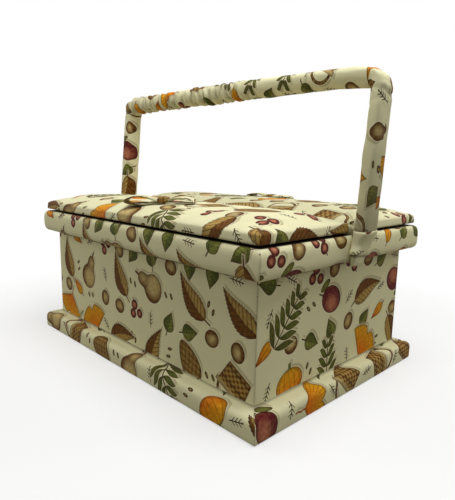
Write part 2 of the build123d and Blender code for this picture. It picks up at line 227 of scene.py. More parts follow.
lay_table()
light_room()
hang_lamp("overhead_lamp", (0.20, -0.06, 0.80), (0, 0, 0.1), 0.60, 4.9, lamp_cool)
hang_lamp("left_lamp", (-0.75, -0.50, 0.34), (0, 0, 0.08), 0.5, 2.25, lamp_warm)
hang_lamp("right_lamp", (0.56, 0.60, 0.45), (0.05, 0, 0.12), 0.4, 1.40, lamp_warm)

# ---- Printed cotton ----
# Plain-weave cotton with a tossed autumn print, cut from one roll: larger fruits, cones and
# leaves on a square repeat, small ones in its corners and ink twigs between. Glued or padded.
repeat = 49.0                # millimetres of cloth from one large figure to the next
large_wander = 3.5
small_wander = 3.0
mark_wander = 2.0
turn_spread = 977.0          # makes a figure's turn out of the number that picks it
thread_pitch = 0.42          # millimetres from thread to thread
ivory = (0.80, 0.765, 0.485, 1)
thread_shade = (0.30, 0.25, 0.16, 1)
# painted shade: the brown that creases, coves, pleats, folds and seams are darkened towards
painted_shade_brown = (0.10, 0.075, 0.04, 1)
sepia = (0.034, 0.013, 0.003, 1)
shadow_tan = (0.40, 0.335, 0.175, 1)
shadow_shift = (1.7, 2.2, 0)          # millimetres from a figure to its painted shadow
pale_rim = (0.83, 0.76, 0.50, 1)
brush_dark = (0.50, 0.34, 0.15, 1)
brush_light = (0.12, 0.085, 0.02, 1)
orange = (0.80, 0.20, 0.006, 1)
amber = (0.86, 0.43, 0.012, 1)
olive = (0.080, 0.108, 0.016, 1)
moss = (0.20, 0.225, 0.045, 1)
maroon = (0.120, 0.009, 0.016, 1)
rose = (0.52, 0.19, 0.11, 1)
umber = (0.150, 0.056, 0.007, 1)
tan = (0.47, 0.31, 0.09, 1)
buff = (0.62, 0.49, 0.215, 1)
ink = (0.008, 0.006, 0.005, 1)
lining_brown = (0.020, 0.013, 0.011, 1)
lapped_lining_shade = 1.4                 # the painted-shade value of an edge that the dark lining is turned over, which also deepens the shade under the lids


def vector_step(operation, *values):
    """One step of arithmetic on places. The first value is an output."""
    tree = values[0].id_data
    return add_node(tree, "VectorMath", enumerate(values), operation=operation).outputs[0]


def noise_tone(place, scale, detail=2.0, roughness=0.5):
    """Soft noise as a tone."""
    sockets = {"Vector": place, "Scale": scale, "Detail": detail, "Roughness": roughness}
    return Tone(add_node(place.id_data, "TexNoise", sockets).outputs["Fac"])


def node_group(name, inputs, outputs):
    """A new shader node group, with its input and output nodes. Sockets are name: kind."""
    tree = bpy.data.node_groups.new(name, "ShaderNodeTree")
    for direction, sockets in (("INPUT", inputs), ("OUTPUT", outputs)):
        for label, kind in sockets.items():
            tree.interface.new_socket(label, in_out=direction, socket_type="NodeSocket" + kind)
    return tree, tree.nodes.new("NodeGroupInput"), tree.nodes.new("NodeGroupOutput")


def figure(name, draw):
    """A group that draws one figure of the print about its own middle, in millimetres.

    Edge is the distance outside the figure's outline, below zero inside it.
    """
    tree, given, result = node_group(name, {"Place": "Vector"}, {"Edge": "Float", "Color": "Color"})
    split = add_node(tree, "SeparateXYZ", {0: given.outputs["Place"]})
    edge, color = draw(Tone(split.outputs["X"]), Tone(split.outputs["Y"]))
    feed(result, {"Edge": edge, "Color": color})
    return tree


def oval(x, y, half_width, half_height):
    """Distance outside an oval, true near its outline."""
    across = x / half_width
    up = y / half_height
    return ((across * across + up * up).root() - 1) * min(half_width, half_height)


def bar(x, y, half_width, low, high):
    """Distance outside an upright bar, such as a stalk."""
    return (x.size() - half_width).most((y - (low + high) / 2).size() - (high - low) / 2)


def blade(x, y, half_width, low, high):
    """Distance outside a pointed leaf blade that stands on its stalk."""
    along = y.ramp(low, high)
    rounded = along.step("POWER", along, 0.72)
    swell = (rounded * pi).wave() * (1.22 - along * 0.5) * half_width
    return (x.size() - swell).most((y - (low + high) / 2).size() - (high - low) / 2)


def veins(x, y, spacing, slant):
    """Thin slanting veins on both sides of a midrib, as a mask."""
    beside = ((y - x.size() * slant) / spacing).part()
    return (beside - 0.5).size().ramp(0.36, 0.44).most(x.size().ramp(0.45, 0.2))


def draw_fan_leaf(x, y):
    high = y + 13
    radius = (x * x + high * high).root()
    angle = x.step("ARCTAN2", x, high)
    notch = angle.size().ramp(0.2, 0.0) * 5
    fan = (radius + notch - 26.5).most((angle.size() - 1.02) * radius)
    ribs = (angle * 46).wave().ramp(0.55, 0.95) * radius.ramp(6, 12)
    body = tint(radius.ramp(5, 25), orange, amber)
    return fan.least(bar(x - y.wave() * 0.4, y, 0.6, -23, -12)), tint(ribs * 0.55, body, umber)


def draw_pumpkin(x, y):
    bulge = (1 - (y / 11) * (y / 11)).most(0.04).root()
    ribs = ((x / bulge) * (pi / 5.6)).wave().size().ramp(0.42, 0.0)
    body = tint(y.ramp(9, -11), amber, orange)
    body = tint(ribs * 0.6, body, umber)
    stalk = bar(x - y * 0.15, y, 1.4, 8.5, 15)
    skin = oval(x, y, 14.5, 11)
    return skin.least(stalk), tint(y.ramp(9.6, 10.4), body, moss)


def draw_cone(x, y):
    girth = 1 - y * 0.017
    husk = oval(x / girth, y, 10.5, 17)
    rising = (x / 5.6 + y / 7).part()
    falling = (x / 5.6 - y / 7).part()
    lit = (rising - falling + 1) * 0.5
    body = tint(lit, umber, tan)
    seams = rising.least(falling).ramp(0.2, 0.06)
    return husk, tint(seams * 0.8, body, sepia)


def draw_sprig(x, y):
    out = x.size()
    along = (y - out * 0.8) / 8.0
    pair = along.step("ROUND", along)
    across = (along - pair) * 6.2
    length = 14.5 - pair * 2.2
    reach = (out * 1.28) / length
    leaflet = across.size() - (reach.ramp(0, 1) * pi).wave() * 2.7
    leaflet = leaflet.most((reach - 1) * 8).most((pair + 0.5).size() * 3 - 8)
    body = tint(reach.ramp(0.1, 1.0), olive, moss)
    middle = across.size().ramp(0.45, 0.15)
    return leaflet.least(bar(x, y, 0.5, -23, 20)), tint(middle * 0.7, body, olive)


def draw_plum(x, y):
    skin = oval(x, y, 10.5, 12.5)
    shine = ((x + 3) * (x + 3) + (y + 2) * (y + 2)).root()
    body = tint(shine.ramp(2.5, 10), rose, maroon)
    cleft = (x - 4.5 + (y * y) * 0.03).size().ramp(0.6, 0.2)
    body = tint(cleft, body, maroon)
    leaf_x = x * 0.5 + y * 0.866 - 14.5
    leaf_y = y * 0.5 - x * 0.866 + 0.5
    leaf = oval(leaf_x, leaf_y, 2.8, 6.5)
    stalk = bar(x, y, 0.55, 11, 17.5)
    return skin.least(leaf).least(stalk), tint((skin - 0.3).ramp(0, 0.1), body, moss)


def draw_long_leaf(x, y):
    bent = x - (y * y) * 0.008
    saw = ((y - bent.size()) / 3.4).part() * 1.1
    body = tint(bent.ramp(-0.3, 0.3), umber, tan)
    body = tint(veins(bent, y, 4.6, 0.9) * 0.75, body, sepia)
    outline = blade(bent, y, 8.5, -19, 22) - saw
    return outline.least(bar(bent, y, 0.55, -25, -17)), body


def draw_gourd(x, y):
    lower = oval(x, y + 6, 12, 11.5)
    upper = oval(x - 1, y - 9, 6, 7)
    skin = lower.step("SMOOTH_MIN", lower, upper, 7.0)
    flank = (skin + 6 - x * 0.35).ramp(-1, 7)
    body = tint(flank, buff, umber)
    stripe = ((x * 0.9 + y * 0.12).wave().size()).ramp(0.25, 0.0) * flank
    stalk = bar(x - y * 0.1, y, 1.0, 14, 21)
    return skin.least(stalk), tint(stripe * 0.5, body, umber)


def draw_basket(x, y):
    side = (x.size() - 13 - y * 0.12).most((y + 1).size() - 10)
    rim = (x.size() - 15.5).most((y - 8.5).size() - 1.8)
    hoop = ((x * x + (y - 7) * (y - 7) * 0.8).root() - 12.5).size() - 1.1
    hoop = hoop.most(6 - y)
    woven = (x * 1.25).wave() * (y * 1.25).wave()
    body = tint(woven.ramp(-0.5, 0.5), umber, tan)
    body = tint((y * 0.62).wave().ramp(0.75, 0.95) * 0.7, body, sepia)
    return side.least(rim).least(hoop), tint(rim.ramp(0.2, -0.2), body, buff)


def draw_berries(x, y):
    first = oval(x + 5, y + 2, 4.2, 4.2)
    second = oval(x - 4.5, y + 4, 4.0, 4.0)
    third = oval(x, y - 4.5, 4.4, 4.4)
    fruit = first.least(second).least(third)
    body = tint(fruit.ramp(-3.4, -1.2), rose, maroon)
    return fruit.least(bar(x, y, 0.4, 4, 11)), body


def draw_nut(x, y):
    shell = oval(x, y, 7.2, 6.4)
    body = tint(shell.ramp(-5.5, -0.5), buff, umber)
    return shell, tint(y.ramp(2.2, 3.0) * 0.75, body, umber)


def draw_green_leaf(x, y):
    outline = blade(x, y, 6.4, -8, 10)
    body = tint(x.ramp(-2, 2), olive, moss)
    return outline.least(bar(x, y, 0.45, -12, -7)), tint(veins(x, y, 3.2, 0.8) * 0.6, body, sepia)


def draw_orange_leaf(x, y):
    outline = blade(x, y, 4.6, -10, 12)
    body = tint(y.ramp(-9, 9), amber, orange)
    return outline.least(bar(x, y, 0.45, -13, -9)), tint(x.size().ramp(0.5, 0.2) * 0.7, body, sepia)


def draw_twig(x, y):
    out = x.size()
    slanting = (((y - out * 0.9) / 3.0).part() - 0.5).size() * 3.0 - 0.32
    twigs = slanting.most(out - 2.6).most(y.size() - 5)
    return twigs.least(bar(x, y, 0.3, -7, 6)), tint(out, ink, ink)


def draw_seeds(x, y):
    pips = oval(x.size() - 3.2, y + x * 0.4, 1.3, 2.5)
    return pips, tint(pips.ramp(-1.2, -0.4), tan, sepia)


def scattered(cloth, shift, wander, seed):
    """One figure's place in each square of the repeat, moved and turned, and its number."""
    moved = vector_step("ADD", cloth, (shift[0] * repeat, shift[1] * repeat, 0))
    square = vector_step("SNAP", moved, (repeat, repeat, 1))
    key = (seed, seed * 0.37, seed)
    keyed = vector_step("MULTIPLY_ADD", square, (1 / repeat, 1 / repeat, 0), key)
    chance = add_node(cloth.id_data, "TexWhiteNoise", {"Vector": keyed})
    local = vector_step("SUBTRACT", moved, square)
    spread = (wander * 2, wander * 2, 0)
    centre = (-repeat / 2 - wander, -repeat / 2 - wander, 0)
    strayed = vector_step("MULTIPLY_ADD", chance.outputs["Color"], spread, centre)
    pick = Tone(chance.outputs["Value"])
    angle = (pick * turn_spread).part() * (2 * pi)
    place = vector_step("ADD", local, strayed)
    turned = add_node(
        cloth.id_data, "VectorRotate", {"Vector": place, "Angle": angle}, rotation_type="Z_AXIS"
    )
    return turned.outputs[0], pick


def chosen_edge(figures, place, pick):
    """The outline and the paint of the figure that a square's number picks.

    figures lists each figure's group with its share of the squares, and the shares make 1.
    """
    edge = paint = None
    passed = 0.0
    for group, share in figures:
        node = add_node(place.id_data, "Group", {"Place": place}, node_tree=group)
        here, color = Tone(node.outputs["Edge"]), node.outputs["Color"]
        if edge is None:
            edge, paint = here, color
        else:
            chosen = pick.step("GREATER_THAN", pick, passed)
            edge = edge + (here - edge) * chosen
            paint = tint(chosen, paint, color)
        passed += share
    return edge, paint


def lay_figures(color, cloth, figures, shift, wander, seed, shaded):
    """Prints one figure in each square over the colour so far, with a painted shadow beside it."""
    if shaded:
        aside = vector_step("SUBTRACT", cloth, shadow_shift)
        cast, _ = chosen_edge(figures, *scattered(aside, shift, wander, seed))
        color = tint(cast.ramp(0.45, -0.25) * 0.62, color, shadow_tan)
    edge, paint = chosen_edge(figures, *scattered(cloth, shift, wander, seed))
    if shaded:
        color = tint(edge.ramp(1.0, 0.65) * 0.85, color, pale_rim)
        paint = tint(edge.ramp(-2.8, -0.2) * 0.50, paint, sepia)
    color = tint(edge.ramp(0.25, 0.0), color, sepia)
    return tint(edge.ramp(-0.05, -0.4), color, paint), edge


def print_group():
    """The whole print: ink marks, small figures, large figures, and the brush's dabs in them."""
    tree, given, result = node_group(
        "autumn print", {"Cloth": "Vector", "Ground": "Color"}, {"Color": "Color"}
    )
    cloth = given.outputs["Cloth"]
    large = [(figure(label, draw), share) for label, draw, share in (
        ("fan leaf", draw_fan_leaf, 0.12), ("long leaf", draw_long_leaf, 0.20),
        ("pumpkin", draw_pumpkin, 0.08), ("fir cone", draw_cone, 0.13), ("plum", draw_plum, 0.12),
        ("basket", draw_basket, 0.12), ("sprig", draw_sprig, 0.11), ("gourd", draw_gourd, 0.12),
    )]
    small = [(figure(label, draw), share) for label, draw, share in (
        ("berries", draw_berries, 0.20), ("nut", draw_nut, 0.30),
        ("green leaf", draw_green_leaf, 0.28), ("orange leaf", draw_orange_leaf, 0.22),
    )]
    marks = [(figure("ink twig", draw_twig), 0.55), (figure("seeds", draw_seeds), 0.45)]
    mixed = [(small[1][0], 0.30), (small[2][0], 0.30), (marks[0][0], 0.25), (marks[1][0], 0.15)]
    color = given.outputs["Ground"]
    inked = None
    for figures, shift, wander, seed, shaded in (
        (marks, (0.5, 0.0), mark_wander, 5.0, False),
        (mixed, (0.0, 0.5), mark_wander, 8.0, True),
        (small, (0.5, 0.5), small_wander, 11.0, True),
        (large, (0.0, 0.0), large_wander, 23.0, True),
    ):
        color, edge = lay_figures(color, cloth, figures, shift, wander, seed, shaded)
        inked = edge if inked is None else inked.least(edge)
    inked = inked.ramp(0.1, -0.1)
    broad, fine = (noise_tone(cloth, scale, 3) for scale in (0.35, 1.1))
    for dab, low, high, share, mode, paint in (
        (broad, 0.40, 0.70, 0.45, "MULTIPLY", brush_dark),
        (fine, 0.42, 0.62, 0.28, "MULTIPLY", brush_dark),
        (broad, 0.52, 0.30, 0.45, "SCREEN", brush_light),
    ):
        color = tint(inked * dab.ramp(low, high) * share, color, paint, mode)
    feed(result, {"Color": color})
    return tree


def weave_group():
    """Plain weave: threads over and under, thicker slubs here and there, and soft creases."""
    tree, given, result = node_group(
        "plain weave",
        {"Cloth": "Vector", "Crease": "Float"},
        {"Height": "Float", "Shade": "Float"},
    )
    cloth, crease = given.outputs["Cloth"], given.outputs["Crease"]
    split = add_node(tree, "SeparateXYZ", {0: cloth})
    x, y = (Tone(split.outputs[axis]) / thread_pitch * pi for axis in "XY")
    over = x.wave() * y.wave()
    thick = noise_tone(vector_step("MULTIPLY", cloth, (0.12, 1.6, 1)), 0.9)
    creased = noise_tone(cloth, 0.055, 3, 0.45) * Tone(crease)
    feed(result, {
        "Height": over * 0.06 + thick * 0.10 + creased,
        "Shade": (over * 0.5 + 0.5) * 0.35 + thick * 0.65,
    })
    return tree


autumn_print = print_group()
plain_weave = weave_group()


def add_bump(shader, height, distance, strength):
    bump = add_node(
        shader.id_data, "Bump", {"Height": height, "Distance": distance, "Strength": strength}
    )
    feed(shader, {"Normal": bump.outputs[0]})


def printed_cotton(name, slide, crease, gloss):
    """The print on its cloth. slide picks the part of the roll, crease how slack it lies."""
    material, tree, shader = new_material(name)
    chart = add_node(tree, "UVMap", uv_map="cloth").outputs[0]
    cloth = vector_step("MULTIPLY_ADD", chart, (1000, 1000, 0), (*slide, 0))
    weave = add_node(tree, "Group", {"Cloth": cloth, "Crease": crease}, node_tree=plain_weave)
    shade = Tone(weave.outputs["Shade"])
    ground = tint(shade.ramp(0.2, 0.8) * 0.10, ivory, thread_shade)
    pattern = add_node(tree, "Group", {"Cloth": cloth, "Ground": ground}, node_tree=autumn_print)
    # Painted shade: the shade attribute darkens the cotton towards brown in creases, coves, pleats,
    # folds and seams; values above 1 give the dark lining colour.
    painted_shade = Tone(add_node(tree, "Attribute", attribute_name="painted_shade").outputs["Fac"])
    color = tint(painted_shade * 0.70, pattern.outputs["Color"], painted_shade_brown)
    feed(shader, {
        "Base Color": tint(painted_shade.ramp(1.02, 1.3), color, lining_brown),
        "Roughness": shade * 0.12 + (0.74 - gloss) + painted_shade * 0.1,
        "Specular IOR Level": 0.09,
    })
    add_bump(shader, weave.outputs["Height"], 0.001, 0.55)
    return material


def ripple(*place):
    """Smooth noise between -1 and 1, the same at a place every time."""
    return noise.noise(Vector(place))


def make_piece(name, points, faces, charts, material, painted_shades=None):
    """A smooth mesh with its cloth chart. charts gives each face's corners on the flat cloth."""
    mesh = bpy.data.meshes.new(name)
    mesh.from_pydata([tuple(p) for p in points], [], faces)
    chart = mesh.uv_layers.new(name="cloth")
    flat = [c for corners in charts for c in corners]
    chart.data.foreach_set("uv", np.array(flat, np.float32).ravel())
    # the shade painted at each point, which the cotton's material reads
    if painted_shades is not None:
        attribute = mesh.attributes.new("painted_shade", "FLOAT", "POINT")
        attribute.data.foreach_set("value", np.array(painted_shades, np.float32))
    mesh.polygons.foreach_set("use_smooth", [True] * len(mesh.polygons))
    mesh.materials.append(material)
    return add_object(name, mesh)


class Skin:
    """A cotton skin made row by row. Each row goes round once and ends where it began."""

    def __init__(self):
        self.rows = []

    def put(self, point, flat, painted_shade=0.0):
        """Adds a point to the last row, with its place on the flat cloth and its painted shade."""
        self.rows[-1].append((point, flat, painted_shade))

    def piece(self, name, material):
        """The closed skin with a cap over each end."""
        rows, count = self.rows, len(self.rows[0]) - 1
        last = len(rows) - 1
        spots = [spot for row in rows for spot in row[:-1]]
        faces, charts = [], []
        for i in range(last):
            for j in range(count):
                corners = [(i, j), (i, j + 1), (i + 1, j + 1), (i + 1, j)]
                faces.append([a * count + b % count for a, b in corners])
                charts.append([rows[a][b][1] for a, b in corners])
        for end, order in ((0, range(count)[::-1]), (last, range(count))):
            faces.append([end * count + j for j in order])
            charts.append([rows[end][j][1] for j in order])
        points, _, painted_shades = zip(*spots)
        return make_piece(name, points, faces, charts, material, painted_shades)


# ---- Walls ----
# Four fibreboard walls, glued at the corners and covered with printed cotton that runs
# round them in one length, so the figures carry on past each corner.
front_low, front_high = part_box("front_panel")
right_low, right_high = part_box("right_panel")
half_length = right_high.x
half_depth = -front_low.y
wall_foot = front_low.z
wall_top = front_high.z
wall_thickness = right_high.x - right_low.x
wall_corner = 0.0014
wall_slack = 0.00012         # how far the cotton lies off the board here and there
slack_pitch = 55             # how close together, per metre
wall_steps = 14
straight_steps = 56          # along a side, between its rounded corners
corner_angles = [radians(a) for a in (11, 23, 34, 45)]
side_names = ("front", "right", "back", "left")
glued_cotton = printed_cotton("printed cotton glued to board", (0, 0), 0.16, 0.08)


def run_lengths(section):
    """How far round a closed section each corner lies, with the first corner again at the end."""
    lengths = [0.0]
    for a, b in zip(section, section[1:] + section[:1]):
        lengths.append(lengths[-1] + hypot(b[0] - a[0], b[1] - a[1]))
    return lengths


def mitred_side(name, side, profile, corner, slack, projection, material):
    """One side of a band round the box, from mitre to mitre.

    profile lists (distance out from the wall, height, painted shade) round a closed section. The
    cloth's chart runs on from side to side at the outermost line of the band.
    """
    run, reach = (half_length, half_depth) if side % 2 == 0 else (half_depth, half_length)
    turn = Matrix.Rotation(radians(90) * side, 3, "Z")
    start = sum((half_length, half_depth)[k % 2] + projection for k in range(side)) * 2
    stations = [(-1, -a) for a in reversed(corner_angles)]
    stations += [(-1 + 2 * i / straight_steps, 0) for i in range(straight_steps + 1)]
    stations += [(1, a) for a in corner_angles]
    skin = Skin()
    for fraction, angle in stations:
        skin.rows.append([])
        mitre = 1.0 if abs(angle) == corner_angles[-1] else 0.0
        for (out, z, dark), length in zip(profile + profile[:1], run_lengths(profile)):
            along = fraction * (run + out - corner) + corner * sin(angle)
            away = reach + out - corner * (1 - cos(angle))
            swell = noise.noise(Vector((start + along, z * 1.3, side)) * slack_pitch) * slack
            away += swell * (1 - mitre) - mitre * slack * 1.5
            point = turn @ Vector((along, -away, z))
            # the pleat at each mitre gets painted shade
            skin.put(point, (start + along, length), max(dark, mitre * 0.6))
    return skin.piece(name, material)


# The wall's section goes up the outside in even steps, over the top and down the inside.
rise = (wall_top - wall_foot) / wall_steps
wall_section = [(0.0, wall_foot + rise * i, 0.0) for i in range(wall_steps)]
# the wall's top gets the dark lining lap, also painted there to deepen the shade under the lids
wall_section += [
    (0.0, wall_top, lapped_lining_shade), (-wall_thickness, wall_top, lapped_lining_shade), (-wall_thickness, wall_foot, 0.0),
]
for side, side_name in enumerate(side_names):
    wall = mitred_side(
        f"{side_name}_wall_cover", side, wall_section, wall_corner, wall_slack, 0, glued_cotton
    )
    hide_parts(f"{side_name}_panel")
    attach(wall, "box")

# ---- Rim and plinth ----
# Wooden mouldings with a bowed nose, mitred round the top and the foot of the box. Each is
# covered with its own strip of the cotton, folded into a pleat at every mitre.
nose_power = 3.3
foot_power = 8.0             # of the plinth's lower half, which comes down almost square
nose_steps = 22
plinth_growth = 0.0022       # the cotton and wadding stand this far off the plinth's wood
plinth_drop = 0.0034         # its cove starts this far below the top of the wood
cove_size = 0.0028
# painted shade along the cove where the plinth meets the wall, darkest against the wall
plinth_cove_shade = (0, 0, 0.2, 0.7, 1)
# painted shadow along the plinth's lower edge, where it stands on the table
under_edge_shadow = 0.8
moulding_corner = {"rim": 0.0016, "plinth": 0.0009}
moulding_slack = 0.00028
shaded_lining_lap = 0.0071          # the dark lining is turned over the rim's top this far out, also painted there to deepen the shade under the lids
flat_share = 0.42            # of the projection, before the nose starts to round over
band_cottons = {
    "rim": printed_cotton("printed cotton on the rim", (37, 71), 0.22, 0.12),
    "plinth": printed_cotton("printed cotton on the plinth", (11, 150), 0.22, 0.12),
}


def nose_profile(bottom, top, projection, cove_below):
    """Section of a moulding: cove against the wall, bowed nose, and flat top and underside."""
    flat = projection * flat_share
    depth = projection - flat
    middle = (bottom + top) / 2
    half = (top - bottom) / 2
    nose = []
    for i in range(nose_steps + 1):
        up = -cos(pi * i / nose_steps)
        power = foot_power if up < 0 and not cove_below else nose_power
        out = flat + depth * (1 - abs(up) ** power) ** (1 / power)
        # painted shade: the dark lining lap on the rim's top, which deepens the shade under the
        # lids, and a painted shadow along the plinth's lower edge
        dark = 0.0
        if cove_below and up > 0.9 and out < shaded_lining_lap:
            dark = lapped_lining_shade
        elif not cove_below and up < -0.985:
            dark = under_edge_shadow
        nose.append((out, middle + half * up, dark))
    arc = [radians(90 * i / 4) for i in range(5)]
    # the cove under the rim gets painted shade, darkest against the wall; its inner top edge gets
    # the dark lining lap, also painted to deepen the shade under the lids
    if cove_below:
        cove = [(cove_size * (1 - cos(a)), bottom - cove_size * (1 - sin(a)), 1 - i / 4)
                for i, a in enumerate(arc)]
        return cove + nose + [(0.0, top, lapped_lining_shade)]
    cove = [(cove_size * (1 - sin(a)), top + cove_size * (1 - cos(a)), dark)
            for a, dark in zip(arc, plinth_cove_shade)]
    return [(0.0, bottom, 0.0)] + nose + cove


for band, cotton in band_cottons.items():
    low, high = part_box(f"{band}_front")
    below = band == "rim"
    bottom = low.z + cove_size if below else low.z
    top = high.z if below else high.z - cove_size - plinth_drop
    projection = -low.y - half_depth + (0 if below else plinth_growth)
    section = nose_profile(bottom, top, projection, below)
    for side, side_name in enumerate(side_names):
        cover = mitred_side(
            f"{band}_{side_name}_cover", side, section, moulding_corner[band], moulding_slack,
            projection, cotton,
        )
        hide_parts(f"{band}_{side_name}")
        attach(cover, "box")

# ---- Inside of the box ----
# Boards and card covered with dark cotton line the walls and the floor. The base is bare
# fibreboard, closed underneath with black card, and a covered rail spans the middle.
lining_lint = (0.060, 0.044, 0.036, 1)
board_brown = (0.34, 0.22, 0.115, 1)
board_dark = (0.20, 0.12, 0.06, 1)
card_black = (0.022, 0.020, 0.019, 1)
card_grey = (0.050, 0.046, 0.042, 1)


def body_place(tree, scale):
    """Where a point lies in the piece itself, for wood, card and metal."""
    return vector_step("MULTIPLY", add_node(tree, "TexCoord").outputs["Object"], scale)


def speckled(name, base, fleck, scale, roughness, grain, stretch=1):
    """A matt surface of one colour with flecks of another: board, card or dark cotton."""
    material, tree, shader = new_material(name)
    place = body_place(tree, (1000 * stretch, 1000, 1000))
    flecks = noise_tone(place, scale, 4)
    patches = noise_tone(place, scale * 0.06)
    color = tint(flecks.ramp(0.45, 0.75) * 0.8, base, fleck)
    feed(shader, {
        "Base Color": tint(patches.ramp(0.3, 0.8) * 0.3, color, fleck),
        "Roughness": flecks * 0.15 + (roughness - 0.08),
        "Specular IOR Level": 0.4,
    })
    add_bump(shader, flecks, 0.0004, grain)
    return material


def finish_cad(material, *nodes):
    """Gives pieces that keep their frame shape their finish."""
    for node in nodes:
        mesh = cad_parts[node].data
        mesh.materials.clear()
        mesh.materials.append(material)


dark_cotton = speckled("dark brown lining cotton", lining_brown, lining_lint, 1.6, 0.85, 0.5)
bare_board = speckled("bare fibreboard", board_brown, board_dark, 1.2, 0.8, 0.4, stretch=0.25)
black_card = speckled("black card", card_black, card_grey, 0.9, 0.7, 0.3)
linings = [f"lining_{part}" for part in (*side_names, "floor")]
finish_cad(dark_cotton, "centre_rail", *linings)
finish_cad(bare_board, "base_board")
finish_cad(black_card, "base_cover")

# ---- Hinge strip and hinges ----
# An upright strip of wood under printed cotton stands between the lids. Four small brass butt
# hinges are screwed to it, each with its leaves curled round a brass pin.
brass_bright = (0.74, 0.52, 0.20, 1)
brass_dull = (0.42, 0.27, 0.10, 1)
steel_bright = (0.56, 0.56, 0.57, 1)
steel_dull = (0.33, 0.33, 0.34, 1)
strip_round = 0.0009
strip_stations = 40


def worn_metal(name, bright, dull, roughness):
    """Pressed metal with a brushed grain and dull patches where it is handled least."""
    material, tree, shader = new_material(name)
    scratches = noise_tone(body_place(tree, (120, 1500, 1500)), 2.4, 3)
    patches = noise_tone(body_place(tree, (1000, 1000, 1000)), 0.35, 4).ramp(0.42, 0.68)
    feed(shader, {
        "Base Color": tint(patches, bright, dull),
        "Metallic": 1.0,
        "Roughness": scratches * 0.14 + patches * 0.16 + roughness,
    })
    add_bump(shader, scratches, 0.0001, 0.35)
    return material


brass = worn_metal("pressed brass", brass_bright, brass_dull, 0.22)
steel = worn_metal("plain steel", steel_bright, steel_dull, 0.30)
strip_cotton = printed_cotton("printed cotton on the hinge strip", (60, 3), 0.10, 0.08)
strip_low, strip_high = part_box("hinge_strip")
half_strip, strip_top = strip_high.y, strip_high.z
strip_section = [
    (-half_strip, strip_low.z), (-half_strip, strip_top - strip_round),
    (-half_strip + strip_round * 0.3, strip_top - strip_round * 0.3),
    (-half_strip + strip_round, strip_top), (half_strip - strip_round, strip_top),
    (half_strip - strip_round * 0.3, strip_top - strip_round * 0.3),
    (half_strip, strip_top - strip_round), (half_strip, strip_low.z),
]
strip_skin = Skin()
for x in np.linspace(strip_low.x, strip_high.x, strip_stations):
    strip_skin.rows.append([])
    for (y, z), length in zip(strip_section + strip_section[:1], run_lengths(strip_section)):
        strip_skin.put((x, y, z), (x, length))
strip_cover = strip_skin.piece("hinge_strip_cover", strip_cotton)
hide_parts("hinge_strip")
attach(strip_cover, "box")
finish_cad(brass, "hinge_leaves_fixed", "hinge_pins", "hinge_screws_fixed")
for lid_name in ("front_lid", "back_lid"):
    finish_cad(brass, f"{lid_name}_hinge_leaves", f"{lid_name}_hinge_screws")

# ---- Lids ----
# Each lid is a board under soft wadding. The cotton is drawn over it, pleated at the corners
# and turned under the edge, where a panel of dark cotton hides its raw ends.
lid_cloth_step = 0.004
turn_under = 0.015
under_gap = 0.00015
hem_spread = 0.0008          # the cotton stands off the board's edge this much at its foot
hem_height = 0.0069
pad_edge = 0.0019            # straight edge of the wadding over its board
pad_start = 0.66             # share of the crown's height before the wadding pushes it up
pad_pressure = 3.0
pad_frames = 20
pad_slack = 0.012            # the cotton is cut this share larger than the lid
pad_rise_most = 0.0015
pleat_length = 0.026
pleat_depth = 0.0011
pleat_slant = 0.82           # 1 would run along the corner's middle line
groove_width = 0.0011
ridge_aside, ridge_width = 0.0024, 0.0016
tuck_place, tuck_width, tuck_depth = 0.0032, 0.0009, 0.0006   # the end of a pleat, on the edge
shoulder_run = 0.036         # how far in from an edge the wadding is level
ripple_pitch, ripple_height = 60, 0.00025   # per metre, and how high the wadding shows
lid_cottons = {
    "front_lid": printed_cotton("printed cotton on the front lid", (19, 33), 0.55, 0.14),
    "back_lid": printed_cotton("printed cotton on the back lid", (200, 310), 0.55, 0.14),
}


def pad_shoulder(share):
    """Height of the wadding, 0 at a lid's edge and 1 where its crown is level."""
    bend = np.linspace(0, 1, 60)
    back = 1 - bend
    across = 3 * 0.08 * bend * back**2 + 3 * 0.40 * bend**2 * back + bend**3
    up = 3 * 0.39 * bend * back**2 + 3 * 0.93 * bend**2 * back + bend**3
    return float(np.interp(share, across, up))


def grid_faces(lines, columns):
    """The corners of each cell of a grid, as (line, column)."""
    return [
        [(i, j), (i, j + 1), (i + 1, j + 1), (i + 1, j)]
        for i in range(lines - 1) for j in range(columns - 1)
    ]


